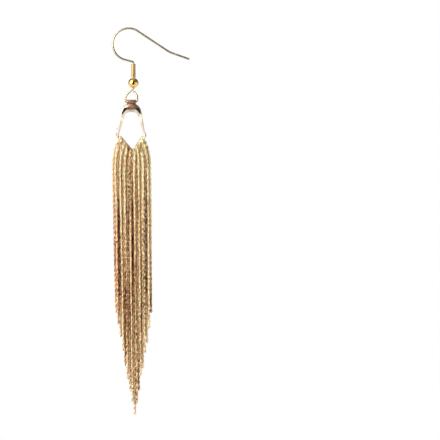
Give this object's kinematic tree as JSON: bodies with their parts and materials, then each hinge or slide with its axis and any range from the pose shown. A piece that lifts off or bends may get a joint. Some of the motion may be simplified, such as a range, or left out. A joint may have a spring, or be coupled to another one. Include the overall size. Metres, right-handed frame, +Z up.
{
  "type": "dangle earring",
  "caption": "Fish-hook ear wire with a coil and ball bead, and a swinging drop: a kite-shaped frame with a long pointed fringe of fine folded chains.",
  "frame": {"origin": "underside of the crown of the ear hook, on the centre line of its wire, where the ear lobe carries it", "axes": "+Z up along the hanging fringe, +Y from the front to the back, and +X to the side that the hook's free end points to"},
  "size_m": [0.0236, 0.003, 0.1164],
  "materials": {
    "ear_wire": "polished gold-tone plating",
    "coil": "polished gold-tone plating",
    "bead": "mirror-polished gold-tone plating",
    "frame": "polished rose-gold-tone plating",
    "chain": "polished champagne-gold plating on fine twisted chain"
  },
  "bodies": {
    "hook": {"ear_wire": "ear_wire", "wire_coil": "coil", "ball_bead": "bead"},
    "drop": {"kite_frame": "frame", "chain_01": "chain", "chain_02": "chain", "chain_03": "chain", "chain_04": "chain", "chain_05": "chain", "chain_06": "chain", "chain_07": "chain", "chain_08": "chain", "chain_09": "chain", "chain_10": "chain", "chain_11": "chain", "chain_12": "chain", "chain_13": "chain", "chain_14": "chain", "chain_15": "chain", "chain_16": "chain", "chain_17": "chain"}
  },
  "joints": [
    {"name": "drop_swing", "type": "hinge", "parent": "hook", "child": "drop", "pos_m": [0.0008, 0, -0.02175], "axis": [1, 0, 0], "range_deg": [-146, 146]}
  ]
}
